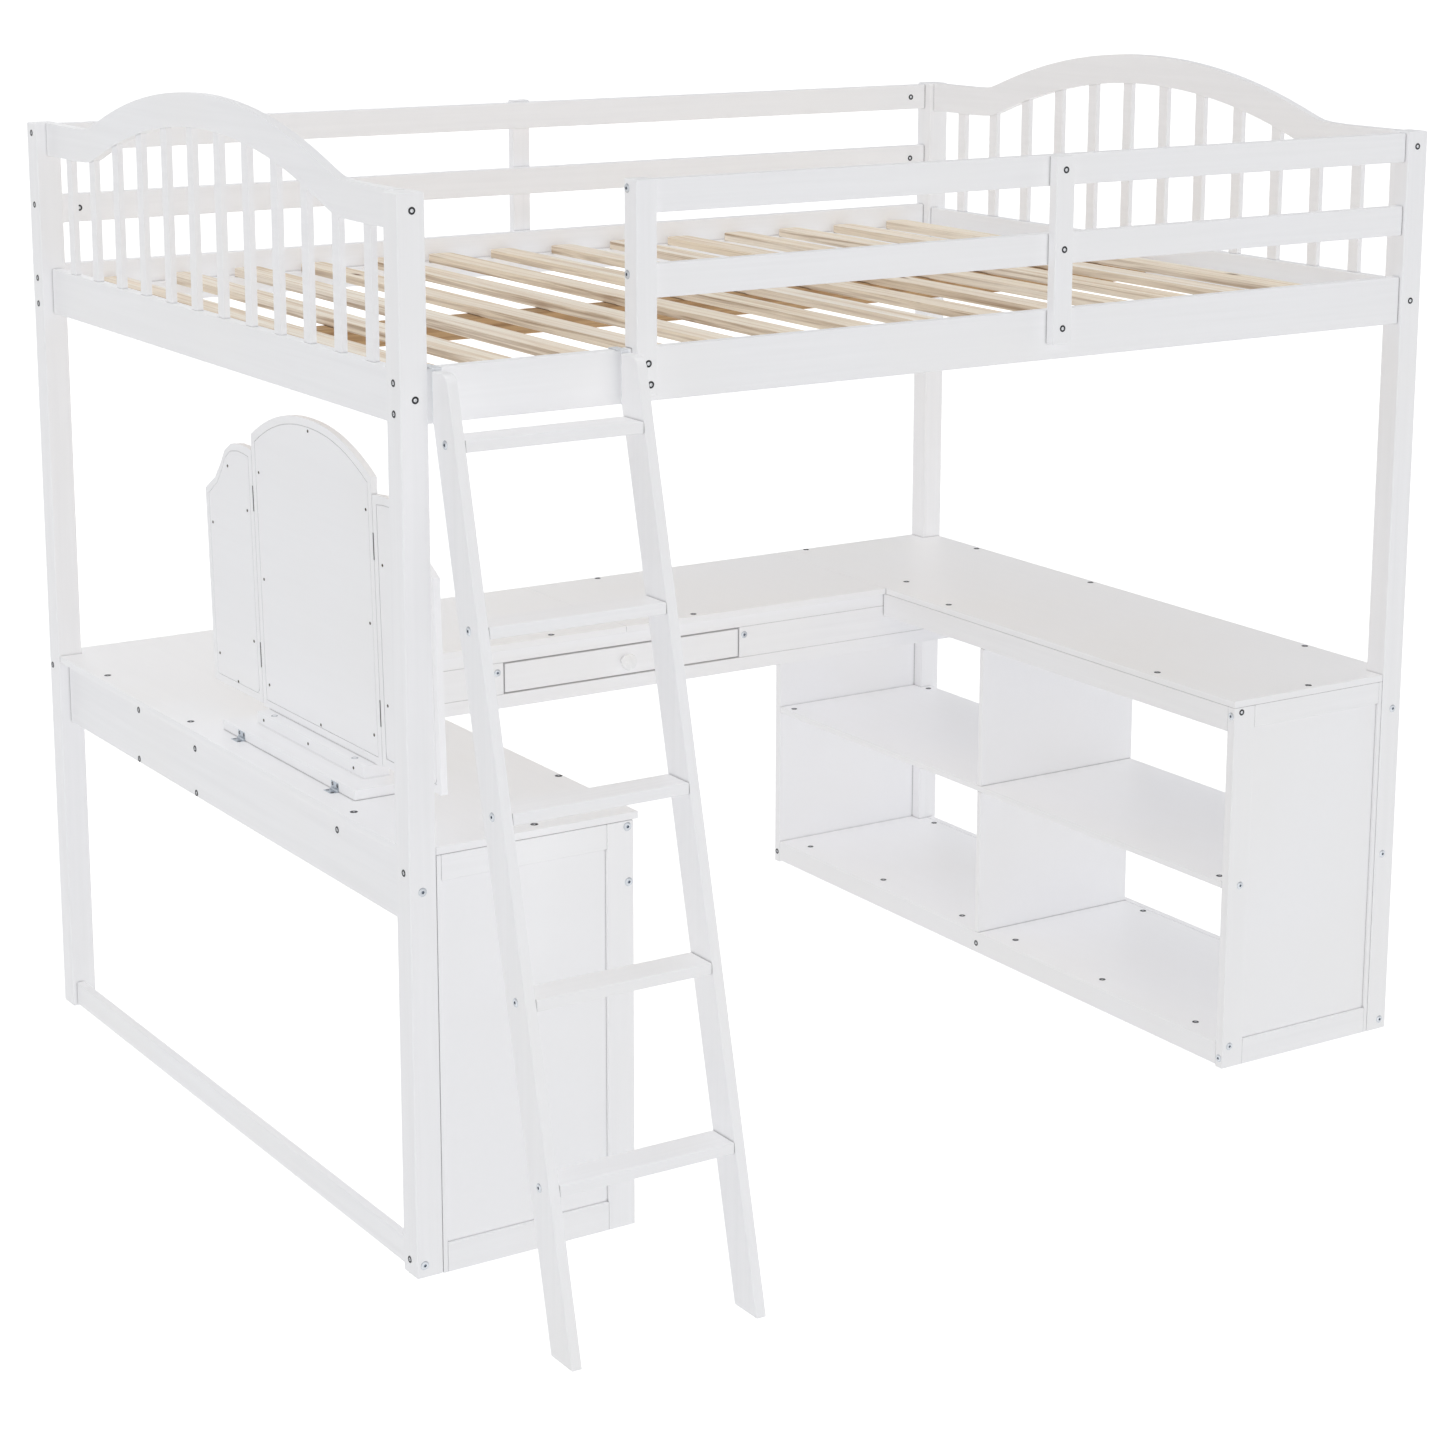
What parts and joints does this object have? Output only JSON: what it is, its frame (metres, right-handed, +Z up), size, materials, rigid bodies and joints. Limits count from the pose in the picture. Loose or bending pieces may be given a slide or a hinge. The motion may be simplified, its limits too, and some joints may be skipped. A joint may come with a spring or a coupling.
{
  "type": "loft bed with desk",
  "caption": "Wooden loft bed with arched, spindled ends, slats, guard rails and a hook-on ladder, over a U-shaped desk with drawer, open shelf unit and hinged dressing mirror.",
  "frame": {"origin": "centre of the whole footprint, ladder feet and back support board included, at floor level", "axes": "+X along the bed, from the dressing-table end to the shelf end; +Y from the ladder side to the back; +Z up"},
  "size_m": [2, 1.84, 1.7381],
  "materials": {
    "white_paint": "satin white paint over solid pine and fibreboard",
    "knob_paint": "gloss white paint over a turned knob",
    "slat_wood": "bare sawn pine with knots",
    "bare_wood": "bare planed wood",
    "hook_steel": "zinc-plated sheet steel",
    "mirror_glass": "silvered glass"
  },
  "bodies": {
    "bed": {"apron_back_desk": "white_paint", "apron_inner_left": "white_paint", "apron_inner_right": "white_paint", "apron_outer_left": "white_paint", "apron_outer_right": "white_paint", "arched_rail_left": "white_paint", "arched_rail_right": "white_paint", "desk_back_rail": "white_paint", "desktop_back_left": "white_paint", "desktop_back_right": "white_paint", "desktop_left": "white_paint", "desktop_right": "white_paint", "drawer_runner_left": "bare_wood", "drawer_runner_right": "bare_wood", "end_rail_left": "white_paint", "end_rail_right": "white_paint", "floor_stretcher_left": "white_paint", "floor_stretcher_right": "white_paint", "front_panel_left": "white_paint", "front_panel_right": "white_paint", "guard_board_back": "white_paint", "guard_board_front": "white_paint", "guard_gate_post": "white_paint", "guard_middle_rail_back": "white_paint", "guard_middle_rail_front": "white_paint", "guard_top_rail_back": "white_paint", "guard_top_rail_front": "white_paint", "post_back_left": "white_paint", "post_back_right": "white_paint", "post_front_left": "white_paint", "post_front_right": "white_paint", "shelf_bottom_board": "white_paint", "shelf_divider_lower": "white_paint", "shelf_divider_upper": "white_paint", "shelf_middle": "white_paint", "side_rail_back": "white_paint", "side_rail_front": "white_paint", "slat_deck": "slat_wood", "slat_ledger_back": "white_paint", "slat_ledger_front": "white_paint", "unit_back_panel": "white_paint"},
    "ladder": {"ladder_hook_left": "hook_steel", "ladder_hook_right": "hook_steel", "ladder_rung_1": "white_paint", "ladder_rung_2": "white_paint", "ladder_rung_3": "white_paint", "ladder_rung_4": "white_paint", "ladder_rung_5": "white_paint", "ladder_stile_left": "white_paint", "ladder_stile_right": "white_paint"},
    "drawer": {"drawer_front": "white_paint", "drawer_box": "bare_wood", "drawer_knob": "knob_paint"},
    "mirror": {"mirror_base": "white_paint", "mirror_centre_frame": "white_paint", "mirror_centre_glass": "mirror_glass"},
    "mirror_wing_left": {"mirror_wing_left_frame": "white_paint", "mirror_wing_left_glass": "mirror_glass"},
    "mirror_wing_right": {"mirror_wing_right_frame": "white_paint", "mirror_wing_right_glass": "mirror_glass"}
  },
  "joints": [
    {"name": "drawer_slide", "type": "slide", "parent": "bed", "child": "drawer", "axis": [0, -1, 0], "range_m": [0, 0.3]},
    {"name": "ladder_lift", "type": "slide", "parent": "bed", "child": "ladder", "axis": [0, 0, 1], "range_m": [0, 0.045]},
    {"name": "mirror_tilt", "type": "hinge", "parent": "bed", "child": "mirror", "pos_m": [-0.95, -0.005, 0.676], "axis": [0, -1, 0], "range_deg": [0, 90]},
    {"name": "mirror_wing_left_hinge", "type": "hinge", "parent": "mirror", "child": "mirror_wing_left", "pos_m": [-0.875, 0.21475, 0.71457], "axis": [0.0209, 0, -0.9998], "range_deg": [0, 170]},
    {"name": "mirror_wing_right_hinge", "type": "hinge", "parent": "mirror", "child": "mirror_wing_right", "pos_m": [-0.875, -0.22675, 0.71457], "axis": [-0.0209, 0, 0.9998], "range_deg": [0, 170]}
  ]
}
